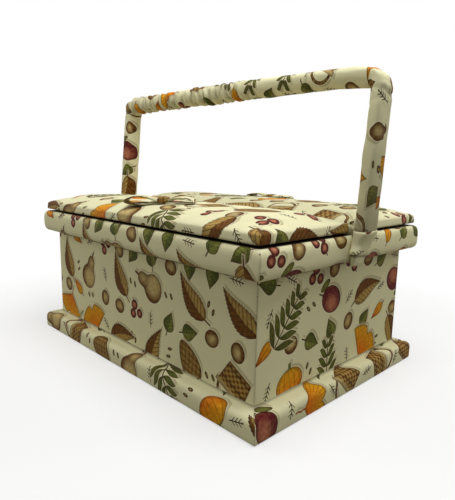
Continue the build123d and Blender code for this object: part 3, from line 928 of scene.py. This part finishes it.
def swell(top):
    """The wadding pushes the cotton up: cloth held along its four edges, with a little slack.

    top is the grid of the lid's top, and comes back with each point moved a little at most.
    """
    lines, columns = len(top), len(top[0])
    sheet_mesh = bpy.data.meshes.new("top_cotton")
    faces = [[i * columns + j for i, j in cell] for cell in grid_faces(lines, columns)]
    start = np.array([p for row in top for p in row], float)
    sheet_mesh.from_pydata([tuple(p) for p in start], [], faces)
    top_cotton = add_object("top_cotton", sheet_mesh)
    held = top_cotton.vertex_groups.new(name="held")
    for i in range(lines):
        for j in range(columns):
            inside = min(i, lines - 1 - i, j, columns - 1 - j)
            if inside < 2:
                held.add([i * columns + j], 1.0 - 0.5 * inside, "REPLACE")
    cloth = top_cotton.modifiers.new("cotton", "CLOTH")
    for label, value in (
        ("quality", 5), ("mass", 0.15), ("tension_stiffness", 30), ("compression_stiffness", 30),
        ("shear_stiffness", 10), ("bending_stiffness", 0.05), ("shrink_min", -pad_slack),
        ("use_pressure", True), ("uniform_pressure_force", pad_pressure),
        ("vertex_group_mass", "held"),
    ):
        setattr(cloth.settings, label, value)
    cloth.settings.effector_weights.gravity = 0
    cloth.collision_settings.use_collision = False
    cloth.point_cache.frame_end = pad_frames
    scene = bpy.context.scene
    for number in range(1, pad_frames + 1):
        scene.frame_set(number)
    graph = bpy.context.evaluated_depsgraph_get()
    moved = np.array([v.co for v in top_cotton.evaluated_get(graph).data.vertices])
    scene.frame_set(1)
    bpy.data.objects.remove(top_cotton)
    bpy.data.meshes.remove(sheet_mesh)
    shift = moved - start
    length = np.linalg.norm(shift, axis=1, keepdims=True)
    shift *= pad_rise_most / np.maximum(length, pad_rise_most)
    risen = [[list(p) for p in row] for row in top]
    for i in range(1, lines - 1):
        for j in range(1, columns - 1):
            risen[i][j] = tuple(start[i * columns + j] + shift[i * columns + j])
    return risen


def lid_cover(lid_name, side):
    """The cotton over one lid: drawn over the wadding, down the edges and turned under.

    side is -1 for the front lid. Returns the piece and the edges it was cut to.
    """
    pad_low, pad_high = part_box(f"{lid_name}_pad")
    board_low, board_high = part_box(f"{lid_name}_board")
    left, right = pad_low.x, pad_high.x
    hinge_y = min(abs(board_low.y), abs(board_high.y)) + 0.0001
    free_y = max(abs(pad_low.y), abs(pad_high.y))
    edge_z = board_high.z + pad_edge
    crown = pad_high.z - edge_z
    depth = edge_z - board_low.z
    xs = np.linspace(left, right, round((right - left) / lid_cloth_step) + 1)
    ys = np.linspace(hinge_y, free_y, round((free_y - hinge_y) / lid_cloth_step) + 1)
    middle_x, half_x = (left + right) / 2, (right - left) / 2
    middle_y, half_y = (hinge_y + free_y) / 2, (free_y - hinge_y) / 2
    numbers, points, faces, charts = {}, [], [], []

    def number(point):
        key = tuple(round(c * 1e6) for c in point)
        if key not in numbers:
            numbers[key] = len(points)
            points.append((point[0], point[1] * side, point[2]))
        return numbers[key]

    def sheet(rows, flat):
        """Adds a grid of cloth. Points that lie together are sewn into one."""
        made = [[number(p) for p in row] for row in rows]
        for cell in grid_faces(len(rows), len(rows[0])):
            faces.append([made[i][j] for i, j in cell])
            charts.append([flat[i][j] for i, j in cell])

    def outline(x, y, out, z):
        """A place on the lid's outline moved out, but never towards the hinges."""
        wide, deep = (half_x + out) / half_x, (half_y + out) / half_y
        if out > 0:
            y += (y - hinge_y) / (2 * half_y) * out
            deep = 1
        return (middle_x + (x - middle_x) * wide, middle_y + (y - middle_y) * deep, z)

    def height(x, y):
        along = min((x - left) / shoulder_run, (right - x) / shoulder_run, 1)
        across = min((y - hinge_y) / shoulder_run, (free_y - y) / shoulder_run, 1)
        return edge_z + crown * pad_start * pad_shoulder(along) * pad_shoulder(across)

    flat_cloth = [[(x, y * side) for x in xs] for y in ys]
    top = [[(x, y, height(x, y)) for x in xs] for y in ys]
    sheet(swell(top), flat_cloth)
    hem = [(0.0, 0.0), (0.0012, hem_spread * 0.4), (0.003, hem_spread * 0.7), (0.005, hem_spread),
           (depth, hem_spread)]
    turned = [(depth, hem_spread), (depth + under_gap, -0.0008), (depth + under_gap, -turn_under)]
    for edge, (out_x, out_y) in (
        ([(x, hinge_y) for x in xs], (0, -1)),
        ([(right, y) for y in ys], (1, 0)),
        ([(x, free_y) for x in xs[::-1]], (0, 1)),
        ([(left, y) for y in ys[::-1]], (-1, 0)),
    ):
        for run in (hem, turned):
            rows = [[outline(x, y, out, edge_z - drop) for x, y in edge] for drop, out in run]
            reaches = [drop - min(out, 0) for drop, out in run]
            sheet(rows, [
                [(x + out_x * reach, (y + out_y * reach) * side) for x, y in edge]
                for reach in reaches
            ])
    foot_z = edge_z - depth - under_gap
    middle = [[outline(x, y, -turn_under, foot_z) for x in xs] for y in ys]
    sheet(middle, [[(x, y * side) for x, y, _ in row] for row in middle])
    cushion = make_piece(f"{lid_name}_cushion", points, faces, charts, lid_cottons[lid_name])
    builder = bmesh.new()
    builder.from_mesh(cushion.data)
    bmesh.ops.recalc_face_normals(builder, faces=builder.faces)
    builder.to_mesh(cushion.data)
    builder.free()
    return cushion, (left, right, hinge_y, free_y, edge_z)


def hump(off, width):
    """1 in the middle of a fold, falling off smoothly over its width."""
    return exp(-((off / width) ** 2))


def pleat_corners(cushion, edges, seed):
    """Folds the cotton into a pleat at each corner and paints shade into the pleats, the tucks and
    along the foot of the edge.
    """
    left, right, hinge_y, free_y, edge_z = edges
    mesh = cushion.data
    darks = []
    for vertex in mesh.vertices:
        x, y, z = vertex.co
        near_x = min(x - left, right - x)
        near_y = min(abs(y) - hinge_y, free_y - abs(y))
        down = max(0.0, edge_z - z)
        # painted shade: along the foot of the lid's edge over the gap, in each pleat's groove and
        # in the tuck at the edge
        dark = max(0.0, 1 - (z - (edge_z - hem_height)) / 0.0012) * 0.8
        along = (near_x + near_y) / 2 + 1e-6
        across = near_x - near_y * pleat_slant
        if along < pleat_length and down < 1e-5:
            fade = 1 - along / pleat_length
            groove = hump(across, groove_width) * fade
            ridge = hump(across - ridge_aside, ridge_width) * fade
            vertex.co.z += ridge * pleat_depth * 0.7 - groove * pleat_depth
            dark = max(dark, groove * 0.55)
        if near_x < 0.02 and near_y < 1e-4 and down > 0:
            fold = hump(near_x - tuck_place, tuck_width)
            inward = -1 if abs(y) > free_y / 2 else 1
            vertex.co.y += copysign(fold * tuck_depth, y) * inward
            dark = max(dark, fold * 0.6)
        if down < 1e-5 and near_x > 0.001 and near_y > 0.001:
            vertex.co.z += ripple(x * ripple_pitch, y * ripple_pitch, seed) * ripple_height
        darks.append(min(1.0, dark))
    painted_shade = mesh.attributes.new("painted_shade", "FLOAT", "POINT")
    painted_shade.data.foreach_set("value", np.array(darks, np.float32))


def subdivide(piece):
    """One smooth subdivision, applied to the mesh."""
    modifier = piece.modifiers.new("smooth", "SUBSURF")
    modifier.levels = modifier.render_levels = 1
    modifier.uv_smooth = "PRESERVE_BOUNDARIES"
    graph = bpy.context.evaluated_depsgraph_get()
    smooth = bpy.data.meshes.new_from_object(piece.evaluated_get(graph))
    piece.modifiers.remove(modifier)
    old = piece.data
    piece.data = smooth
    bpy.data.meshes.remove(old)
    smooth.name = piece.name


lid_cushions = {}
for lid_name, side, seed in (("front_lid", -1, 3.0), ("back_lid", 1, 9.0)):
    cushion, edges = lid_cover(lid_name, side)
    subdivide(cushion)
    pleat_corners(cushion, edges, seed)
    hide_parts(f"{lid_name}_pad", f"{lid_name}_board")
    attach(cushion, lid_name)
    lid_cushions[lid_name] = cushion
    finish_cad(dark_cotton, f"{lid_name}_lining")

# ---- Bows ----
# A bow of the same cotton is sewn near the free edge of each lid, to lift it by. A ribbon is
# folded into two soft loops and gathered in the middle by a band, which makes the knot.
ribbon_ply = 0.0009
ribbon_waist = 0.0042        # half widths of the ribbon
ribbon_end = 0.0072
ribbon_lanes = 15
ribbon_gather = 0.0009       # depth of its pleats at the knot
ribbon_ripple = 0.0011
ribbon_sway = 0.0012
loop_start = 0.0030
loop_rest = 0.011            # where along it a loop lies on the lid
loop_steps = 46
loop_course = [              # share of the loop's reach and of its height, from the knot round
    (0.00, 0.34), (0.14, 0.60), (0.34, 0.90), (0.58, 1.00), (0.80, 0.88), (0.95, 0.62),
    (1.00, 0.36), (0.96, 0.14), (0.80, 0.02), (0.50, 0.00), (0.22, 0.04), (0.00, 0.14),
]
loops_given = ((-1, 0.033, 0.0064, "left"), (1, 0.027, 0.0048, "right"))   # side, reach, height
knot_half = (0.0052, 0.0062, 0.0031)
knot_cloth = 0.036           # how much cloth goes round the knot
knot_turns, knot_slices = 30, 17
bows_given = {               # sewn on by hand: aside, in from the frame's place, turn, flatness
    "front_lid": (0.017, 0.006, radians(36), 1.0),
    "back_lid": (-0.006, -0.004, radians(8), 0.62),
}
bow_rest = 0.0003            # clear of the lid's cotton
bow_cotton = printed_cotton("printed cotton of the bows", (72, 12), 0.30, 0.10)


def rounded_course(points, count):
    """Points spaced evenly along a smooth curve through the given ones, and their runs."""
    given = np.array(points, float)
    padded = np.vstack([2 * given[0] - given[1], given, 2 * given[-1] - given[-2]])
    fine = []
    for a, b, c, d in zip(padded, padded[1:], padded[2:], padded[3:]):
        for t in np.linspace(0, 1, 16, endpoint=False):
            fine.append(0.5 * (2 * b + (c - a) * t + (2 * a - 5 * b + 4 * c - d) * t**2
                               + (3 * b - a - 3 * c + d) * t**3))
    fine = np.array(fine + [given[-1]])
    run = np.concatenate([[0], np.cumsum(np.linalg.norm(np.diff(fine, axis=0), axis=1))])
    at = np.linspace(0, run[-1], count)
    return np.array([np.interp(at, run, fine[:, k]) for k in range(given.shape[1])]).T, at


def resting_height(piece):
    """A function that gives the height of a piece's top at a place."""
    tree = bvhtree.BVHTree.FromPolygons(
        [v.co for v in piece.data.vertices], [tuple(p.vertices) for p in piece.data.polygons]
    )
    return lambda x, y: tree.ray_cast(Vector((x, y, 0.3)), Vector((0, 0, -1)))[0].z


def squared(value, power):
    """A sine or cosine pushed out towards the side of a square, where power is below 1."""
    return copysign(abs(value) ** power, value)


def circle(turns):
    """A full turn in even steps: share, angle, cosine and sine, first and last alike."""
    for share in np.linspace(0, 1, turns + 1).tolist():
        angle = 2 * pi * share
        yield share, angle, cos(angle), sin(angle)


def ribbon_loop(name, middle, turn, direction, loop_reach, tall, surface, seed):
    """One loop of the bow: out over the top, round its end and back underneath to the knot."""
    aside = turn @ Vector((direction * loop_rest, 0, 0))
    low = surface(middle.x + aside.x, middle.y + aside.y) + bow_rest
    course, along = rounded_course(loop_course, loop_steps)
    lanes = list(np.linspace(-1, 1, ribbon_lanes))
    around = [(0.5, lane) for lane in lanes] + [(-0.5, lane) for lane in lanes[::-1]]
    skin = Skin()
    for step, (share, up) in enumerate(course):
        before, after = course[max(step - 1, 0)], course[min(step + 1, loop_steps - 1)]
        run_x = (after[0] - before[0]) * (loop_reach - loop_start)
        run_z = (after[1] - before[1]) * tall
        out = Vector((run_z, -run_x)).normalized() * -1
        spread = share * share * (3 - 2 * share)
        half = ribbon_waist + (ribbon_end - ribbon_waist) * spread
        gather = (1 - share) ** 1.4
        skin.rows.append([])
        for layer, lane in around + around[:1]:
            fold = cos(lane * 8.5 + seed) * ribbon_gather * gather
            fold += ripple(share * 3.0, lane * 1.6, seed) * ribbon_ripple * share
            lift = layer * ribbon_ply * (1 - abs(lane) ** 6 * 0.7) + fold
            x = loop_start + share * (loop_reach - loop_start) + out.x * lift
            z = low + up * tall + out.y * lift
            y = lane * half * (1 + 0.05 * sin(share * 5 + seed))
            y += ribbon_sway * sin(share * 2.2 + seed) * share
            spot = turn @ Vector((direction * x, y, 0))
            above = layer * ribbon_ply * 0.5 + bow_rest + ribbon_ply
            z = max(z, surface(middle.x + spot.x, middle.y + spot.y) + above)
            # painted shade in the gathers near the knot
            painted_shade = max(0.0, gather * 0.55 - fold * 450) if share < 0.30 else 0.0
            flat = (direction * (along[step] * 0.02 + 0.004), lane * half)
            skin.put((middle.x + spot.x, middle.y + spot.y, z), flat, min(painted_shade, 1.0))
    return skin.piece(name, bow_cotton)


def bow_knot_band(name, middle, turn, squash, surface, seed):
    """The band gathered round the middle of the ribbon: a small wrinkled bolster."""
    low = surface(middle.x, middle.y) + bow_rest
    half_x, half_y, half_z = knot_half[0], knot_half[1], knot_half[2] * squash
    skin = Skin()
    for i in range(knot_slices):
        share = -1 + 2 * i / (knot_slices - 1)
        squeeze = (1 - abs(share) ** 3.2) ** 0.5 if abs(share) < 1 else 0.0
        skin.rows.append([])
        for round_share, angle, cosine, sine in circle(knot_turns):
            wrinkle = cos(share * 9.0 + 0.9 * sin(angle * 2 + seed)) * 0.05
            wrinkle += ripple(share * 2, cosine * 1.4, sine + seed) * 0.10
            size = min(max(squeeze, 0.35) * (0.97 + wrinkle), 1.0)
            x = share * half_x * (1 + 0.08 * sin(angle * 2))
            spot = turn @ Vector((x, half_y * size * squared(cosine, 0.75), 0))
            rest = surface(middle.x + spot.x, middle.y + spot.y) + bow_rest
            z = max(low + half_z + half_z * size * squared(sine, 0.75), rest)
            # painted shade in the band's wrinkles and where it is pinched at its ends
            painted_shade = min(1.0, max(0.0, -wrinkle * 5) + (1 - squeeze) * 0.7)
            flat = (share * half_x, round_share * knot_cloth)
            skin.put((middle.x + spot.x, middle.y + spot.y, z), flat, painted_shade)
    return skin.piece(name, bow_cotton)


for lid_name, outward, seed in (("front_lid", -1, 1.3), ("back_lid", 1, 4.1)):
    low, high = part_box(f"{lid_name}_pull")
    aside, inward, angle, squash = bows_given[lid_name]
    middle = (low + high) / 2 + Vector((aside, -outward * inward, 0))
    turn = Matrix.Rotation(-outward * angle, 3, "Z")
    surface = resting_height(lid_cushions[lid_name])
    bow = [
        ribbon_loop(f"{lid_name}_bow_{hand}_loop", middle, turn, direction, reach, tall * squash,
                    surface, seed + direction)
        for direction, reach, tall, hand in loops_given
    ]
    bow.append(bow_knot_band(f"{lid_name}_bow_knot", middle, turn, squash, surface, seed))
    subdivide(bow[-1])
    for piece in bow:
        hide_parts(f"{lid_name}_pull")
        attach(piece, lid_name)

# ---- Handle ----
# A flat steel strap bent to a square arch, padded with wadding and sleeved in the cotton. The
# sleeve of the grip is ruched over its left part; both legs are smooth. The strap's feet are
# screwed to the rim's ends, each under a patch of the cotton.
handle_base = Vector((0, -0.0006, 0.1144))
handle_lean = radians(4.8)
leg_middle = 0.1573
grip_level = 0.12604
bend_radius = 0.007
leg_foot = 0.0125
leg_half = (0.0058, 0.0092)
grip_half = (0.0083, 0.0085)
gather_end = 0.200           # how far along the grip the gathers reach
gather_depth = 0.0027
bend_fillet = 0.0027         # wadding that fills the inside of the left bend
leg_rise = grip_level - bend_radius - leg_foot
bend_run = bend_radius * pi / 2
arch_total = 2 * leg_rise + 2 * bend_run + 2 * (leg_middle - bend_radius)
right_bend = arch_total - leg_rise - bend_run
left_seam = leg_rise - 0.0040
right_seam = right_bend + 0.0010
seam_lean = 0.0030           # how much further along the seam runs at the top of the grip
seam_reach = 0.012
seam_under = 0.0009          # a sleeve lies this much thinner under the next one
seam_end, seam_tight = 0.0016, 0.0008   # a sleeve's raw edge is drawn in: length and depth
fold_wander = 0.0012
fold_dark = 0.0011           # a fold this deep gets the full painted shade at its bottom
sleeve_turns = 44
sleeve_step = 0.0016
sleeve_cloth = 0.050         # how much cloth goes round the handle
sleeve_wave = 0.00045
foot_shade = 0.80            # darker cotton towards the right foot stands in for shade there
foot_shade_reach = 0.105
patch_cloth = 0.048
patch_inner = 0.1511
patch_square = 0.62
patch_half = 0.0098
patch_loose, patch_back_loose = 0.0026, 0.0018   # how far its lower corners stand off
patch_puff = 0.0006
patch_slope = 0.0014
patch_levels = (             # height over the feet, reach from the middle, half width, painted shade
    (0.0148, 0.1634, 0.0094, 0.9), (0.0142, 0.1640, 0.0099, 0), (0.0128, 0.1639, 0.0101, 0),
    (0.0110, 0.1631, 0.0101, 0), (0.0090, 0.1619, 0.0100, 0), (0.0070, 0.1608, 0.0099, 0),
    (0.0050, 0.1599, 0.0098, 0), (0.0030, 0.1593, 0.0098, 0), (0.0010, 0.1589, 0.0099, 0),
    (-0.0008, 0.1586, 0.0100, 0), (-0.0022, 0.1583, 0.0101, 0), (-0.0032, 0.1579, 0.0100, 0),
    (-0.0040, 0.1570, 0.0092, 0.8), (-0.0048, 0.1561, 0.0080, 0.8), (-0.0060, 0.1559, 0.0075, 0),
    (-0.0080, 0.1558, 0.0074, 0), (-0.0104, 0.1554, 0.0073, 0), (-0.0118, 0.1543, 0.0071, 0),
    (-0.0125, 0.1522, 0.0066, 0),
)
handle_cotton = printed_cotton("printed cotton of the handle", (141, 27), 0.45, 0.10)


def on_handle(across, up, front):
    """A point from its place in the handle's leaning plane."""
    lean_up = Vector((0, sin(handle_lean), cos(handle_lean)))
    lean_front = Vector((0, -cos(handle_lean), sin(handle_lean)))
    return handle_base + Vector((across, 0, 0)) + lean_up * up + lean_front * front


def arch_station(run):
    """Where the strap's middle line is at a run from the left foot: across, up and heading."""
    past_left = run - leg_rise
    past_right = run - right_bend
    if past_left < 0:
        return -leg_middle, leg_foot + run, pi / 2
    if past_left < bend_run:
        turn = past_left / bend_radius
        across = -leg_middle + bend_radius * (1 - cos(turn))
        return across, grip_level - bend_radius * (1 - sin(turn)), pi / 2 - turn
    if past_right < 0:
        return -leg_middle + bend_radius + past_left - bend_run, grip_level, 0.0
    if past_right < bend_run:
        turn = past_right / bend_radius
        across = leg_middle - bend_radius * (1 - sin(turn))
        return across, grip_level - bend_radius * (1 - cos(turn)), -turn
    return leg_middle, grip_level - bend_radius - (past_right - bend_run), -pi / 2


def padding_reach(run):
    """How far the padding reaches outside and inside the strap's middle line at a station.

    The grip's right end is flattened on top and sags under the bend, and its left end has
    wadding pushed into the corner. The last value is 0 on a leg and 1 on the grip.
    """
    past = run - right_bend
    outside = np.interp(
        past,
        (-0.130, -0.105, -0.058, -0.031, -0.012, -0.004, 0.0, 0.0055, 0.0095, 0.014),
        (0.0083, 0.0077, 0.0067, 0.0060, 0.0055, 0.0041, 0.0029, 0.0025, 0.0044, 0.0058),
    )
    inside = np.interp(
        past,
        (-0.028, -0.004, 0.003, 0.011, 0.018, 0.045, 0.065),
        (0.0083, 0.0104, 0.0104, 0.0074, 0.0047, 0.0048, 0.0058),
    )
    grown = min(max((min(run, arch_total - run) - leg_rise + 0.004) / 0.020, 0), 1)
    grown = grown * grown * (3 - 2 * grown)
    if past < -0.14:
        outside = leg_half[0] + (grip_half[0] - leg_half[0]) * grown
        inside = outside
        for from_corner in (leg_rise - 0.0013 - run, run - leg_rise - bend_run + 0.0012):
            if from_corner > 0:
                inside += bend_fillet * hump(from_corner, 0.0034)
    return float(outside), float(inside), grown


def gathered(run, cosine, sine, angle, gathers):
    """How far folds lift the cotton at a spot, and how much shade is painted in them.

    gathers lists (run, slant, depth, width) of the folds.
    """
    lift = dark = 0.0
    for place, slant, depth, width in gathers:
        slanted = place - slant * cosine * 0.5 - fold_wander * sin(3 * angle + place * 900)
        off = (run - slanted) / width
        if abs(off) < 3.5:
            groove = exp(-off * off)
            swell_beside = exp(-((abs(off) - 1.9) ** 2) / 0.9)
            reach = 0.55 + 0.45 * ripple(cosine * 1.3, sine * 1.3, place * 100)
            lift += depth * (0.45 * swell_beside - groove) * reach
            dark = max(dark, groove * min(1.0, depth / fold_dark) * reach)
    return lift, dark


def sleeve(name, start, end, gathers, slide, lean, seam):
    """A length of the padded sleeve.

    lean is how much further along its first edge lies on top. Past seam, a run and a lean,
    the sleeve lies thinner under the next one. slide shifts and stretches it on the cloth.
    """
    skin = Skin()
    for station in np.linspace(start, end, max(2, round((end - start) / sleeve_step))):
        thin = max(0.0, 1 - (station - start) / seam_end, 1 - (end - station) / seam_end)
        skin.rows.append([])
        for round_share, angle, cosine, sine in circle(sleeve_turns):
            on_top = max(0.0, cosine) ** 1.5
            run = station + lean * on_top * max(0.0, 1 - (station - start) / seam_reach)
            across, up, heading = arch_station(run)
            outside, inside, grown = padding_reach(run)
            half_front = leg_half[1] + (grip_half[1] - leg_half[1]) * grown
            power = 2 / (3.3 - 1.1 * grown)
            covered = min(1.0, max(0.0, (run - seam[0] - seam[1] * on_top) / 0.0012))
            shaded = foot_shade * max(0.0, 1 - (arch_total - run) / foot_shade_reach)
            lift, dark = gathered(run, cosine, sine, angle, gathers)
            lift += ripple(run * 70, cosine * 1.1, sine * 1.1) * sleeve_wave
            lift -= seam_under * covered + seam_tight * thin * thin
            n_in = squared(cosine, power) * ((outside if cosine > 0 else inside) + lift)
            n_front = squared(sine, power) * (half_front + lift)
            point = on_handle(
                across - sin(heading) * n_in, up + cos(heading) * n_in, n_front
            )
            flat = (round_share * sleeve_cloth + slide[0], run * slide[2] + slide[1])
            # painted shade in the folds, along and under the seams, at the drawn-in raw edges and
            # towards the right foot
            skin.put(point, flat, min(1.0, max(dark, shaded, 0.9 * covered, 0.8 * thin)))
    return skin.piece(name, handle_cotton)


def foot_cover(name, end, seed):
    """The patch over a foot: drawn from the leg down the rim's nose, its lower corner loose."""
    skin = Skin()
    for up, outer, half, painted_shade in patch_levels:
        middle, deep = (outer + patch_inner) / 2, (outer - patch_inner) / 2
        skin.rows.append([])
        for round_share, _, cosine, sine in circle(sleeve_turns):
            out, front = squared(cosine, patch_square), squared(sine, patch_square)
            outside = max(0.0, out)
            slope = -patch_slope * front * max(0.0, (up - 0.004) / 0.012)
            loose_front = hump(hypot((front - 1) * patch_half, up + 0.0022), 0.0036)
            loose_back = hump(hypot((front + 0.85) * patch_half, up + 0.0030), 0.0034)
            puff = ripple(up * 110, front * 0.8, seed) * patch_puff
            puff += loose_front * patch_loose + loose_back * patch_back_loose
            point = on_handle(
                end * (middle + out * deep + outside * puff),
                up + slope - loose_front * 0.0008 * outside,
                front * half + loose_front * 0.0011,
            )
            skin.put(point, (round_share * patch_cloth, up), painted_shade)
    return skin.piece(name, handle_cotton)


gather_dice = random.Random(11)
grip_folds = []
place = leg_rise - 0.001
while place < leg_rise + bend_run + gather_end:
    fading = gather_depth * min(1.0, (leg_rise + bend_run + gather_end - place) / 0.06)
    for least_gap, most_gap, slants, shares, widths in (
        (0.0, 0.0, (0.004, 0.011), (0.6, 1.0), (0.0022, 0.0031)),
        (0.0045, 0.0070, (0.003, 0.009), (0.2, 0.5), (0.0010, 0.0015)),
    ):
        at = place + (gather_dice.uniform(least_gap, most_gap) if most_gap else 0.0)
        slant = gather_dice.uniform(*slants)
        depth = gather_dice.uniform(*shares) * fading
        grip_folds.append((at, slant, depth, gather_dice.uniform(*widths)))
    place += gather_dice.uniform(0.0105, 0.0165)
grip_folds.append((right_bend - 0.055, 0.002, 0.0007, 0.0011))
leg_folds = [(right_bend + bend_run + 0.004, -0.008, 0.0008, 0.0016),
             (right_bend + bend_run + 0.014, 0.009, 0.0005, 0.0022)]
for name, node, start, end, folds, slide, lean, seam in (
    ("handle_left_sleeve", "handle_leg_left", 0.0, leg_rise, [],
     (0.013, 0.031, 1.0), 0.0, (left_seam, 0.0)),
    ("handle_grip_sleeve", "handle_grip", left_seam, right_bend + 0.0085, grip_folds,
     (0.032, 0.007, 1.25), 0.0, (right_seam - 0.0006, seam_lean)),
    ("handle_right_sleeve", "handle_leg_right", right_seam, arch_total, leg_folds,
     (0.001, 0.049, 1.0), seam_lean, (arch_total, 0.0)),
):
    piece = sleeve(name, start, end, folds, slide, lean, seam)
    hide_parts(node)
    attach(piece, "box")
for end, side_name in ((-1, "left"), (1, "right")):
    patch = foot_cover(f"handle_{side_name}_patch", end, 2.0 + end)
    subdivide(patch)
    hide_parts(f"handle_patch_{side_name}")
    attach(patch, "box")
finish_cad(steel, "handle_strap", "handle_screws")
